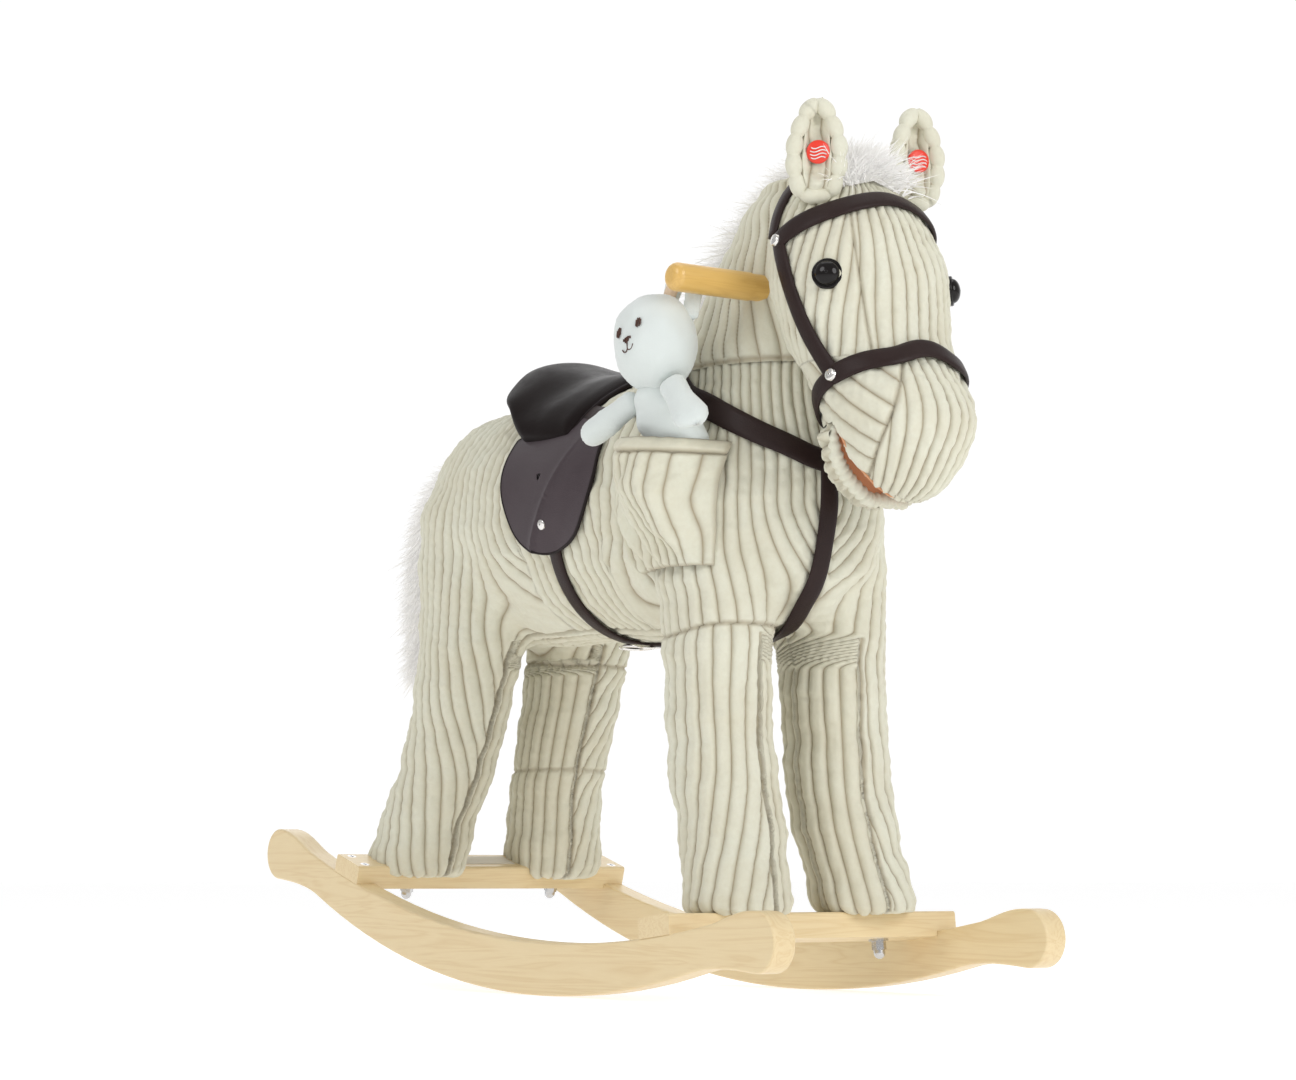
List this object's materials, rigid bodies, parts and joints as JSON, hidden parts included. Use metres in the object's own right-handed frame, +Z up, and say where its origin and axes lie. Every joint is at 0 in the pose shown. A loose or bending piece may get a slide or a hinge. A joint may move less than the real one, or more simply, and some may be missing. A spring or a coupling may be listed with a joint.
{
  "type": "rocking horse",
  "caption": "Padded corduroy rocking horse on curved wooden rockers, with saddle, bridle, fur mane and tail, handle bar and a plush rabbit in a side pocket.",
  "frame": {"origin": "on the floor, midway between the two points where the rockers touch it at rest", "axes": "+X where the horse looks, +Y its left side, +Z up"},
  "size_m": [0.7998, 0.289, 0.689],
  "materials": {
    "pine": "satin",
    "honey_wood": "satin",
    "frame_wood": "matte",
    "corduroy": "matte",
    "fur": "matte",
    "velour": "matte",
    "lining": "matte",
    "faux_leather": "satin",
    "zinc": "satin",
    "rivet_metal": "polished",
    "eye_black": "gloss",
    "sticker_red": "satin",
    "label_paper": "matte",
    "housing": "matte",
    "mechanism": "satin",
    "cell": "satin",
    "switch_black": "matte"
  },
  "bodies": {
    "horse": {"rocker_right": "pine", "rocker_left": "pine", "front_crossbar": "pine", "rear_crossbar": "pine", "handle_bar": "honey_wood", "leg_posts": "frame_wood", "hip_boards": "frame_wood", "spine_rail": "frame_wood", "neck_post": "frame_wood", "crossbar_screws": "zinc", "leg_studs": "zinc", "stud_washers": "zinc", "dome_nuts": "zinc", "crossbar_label": "label_paper", "body_cover": "corduroy", "neck_cover": "corduroy", "head_cover": "corduroy", "rear_right_leg": "corduroy", "rear_left_leg": "corduroy", "front_right_leg": "corduroy", "front_left_leg": "corduroy", "right_ear": "corduroy", "left_ear": "corduroy", "pocket_panel": "corduroy", "mane": "fur", "mouth_lining": "lining", "saddle_seat": "faux_leather", "right_saddle_flap": "faux_leather", "left_saddle_flap": "faux_leather", "girth_strap": "faux_leather", "breast_strap": "faux_leather", "martingale_strap": "faux_leather", "browband": "faux_leather", "headstall": "faux_leather", "noseband": "faux_leather", "rivets": "rivet_metal", "girth_buckle": "rivet_metal", "eye_beads": "eye_black", "ear_stickers": "sticker_red", "battery_box": "housing", "sound_unit": "housing", "jaw_drive": "housing", "tail_drive": "housing", "ear_switch_bases": "housing", "eye_locks": "housing", "battery_cells": "cell"},
    "jaw": {"jaw_frame": "mechanism", "jaw_cover": "corduroy"},
    "jaw_crank": {"jaw_crank": "mechanism"},
    "tail": {"tail_frame": "mechanism", "tail_hair": "fur"},
    "tail_crank": {"tail_crank": "mechanism"},
    "right_ear_button": {"right_ear_button": "mechanism"},
    "left_ear_button": {"left_ear_button": "mechanism"},
    "rabbit": {"rabbit_head": "velour", "rabbit_body": "velour", "rabbit_ears": "velour"},
    "battery_door": {"battery_door": "housing"},
    "power_switch": {"power_switch": "switch_black"}
  },
  "joints": [
    {"name": "jaw_hinge", "type": "hinge", "parent": "horse", "child": "jaw", "pos_m": [0.236, 0, 0.438], "axis": [0, 1, 0], "range_deg": [-8, 6]},
    {"name": "jaw_crank_spin", "type": "hinge", "parent": "horse", "child": "jaw_crank", "pos_m": [0.236, 0.009, 0.466], "axis": [0, 1, 0], "range_deg": [-46, 35]},
    {"name": "tail_hinge", "type": "hinge", "parent": "horse", "child": "tail", "pos_m": [-0.3, 0, 0.455], "axis": [0, 0, 1], "range_deg": [-8, 8]},
    {"name": "tail_crank_spin", "type": "hinge", "parent": "horse", "child": "tail_crank", "pos_m": [-0.272, 0, 0.446], "axis": [0, 0, 1], "range_deg": [-46, 46]},
    {"name": "right_ear_press", "type": "slide", "parent": "horse", "child": "right_ear_button", "axis": [-1, 0, 0], "range_m": [0, 0.0015], "stiffness_N_per_m": 400},
    {"name": "left_ear_press", "type": "slide", "parent": "horse", "child": "left_ear_button", "axis": [-1, 0, 0], "range_m": [0, 0.0015], "stiffness_N_per_m": 400},
    {"name": "rabbit_lift", "type": "slide", "parent": "horse", "child": "rabbit", "axis": [-0.45, 0, 0.893], "range_m": [0, 0.09]},
    {"name": "battery_door_hinge", "type": "hinge", "parent": "horse", "child": "battery_door", "pos_m": [-0.1575, 0, 0.301], "axis": [0, 1, 0], "range_deg": [0, 95]},
    {"name": "power_switch_slide", "type": "slide", "parent": "horse", "child": "power_switch", "axis": [0, 1, 0], "range_m": [0, 0.004]}
  ],
  "couplings": [
    {"joint": "jaw_crank_spin", "follows": "jaw_hinge", "ratio": 5.6667},
    {"joint": "tail_crank_spin", "follows": "tail_hinge", "ratio": 5.6667}
  ]
}
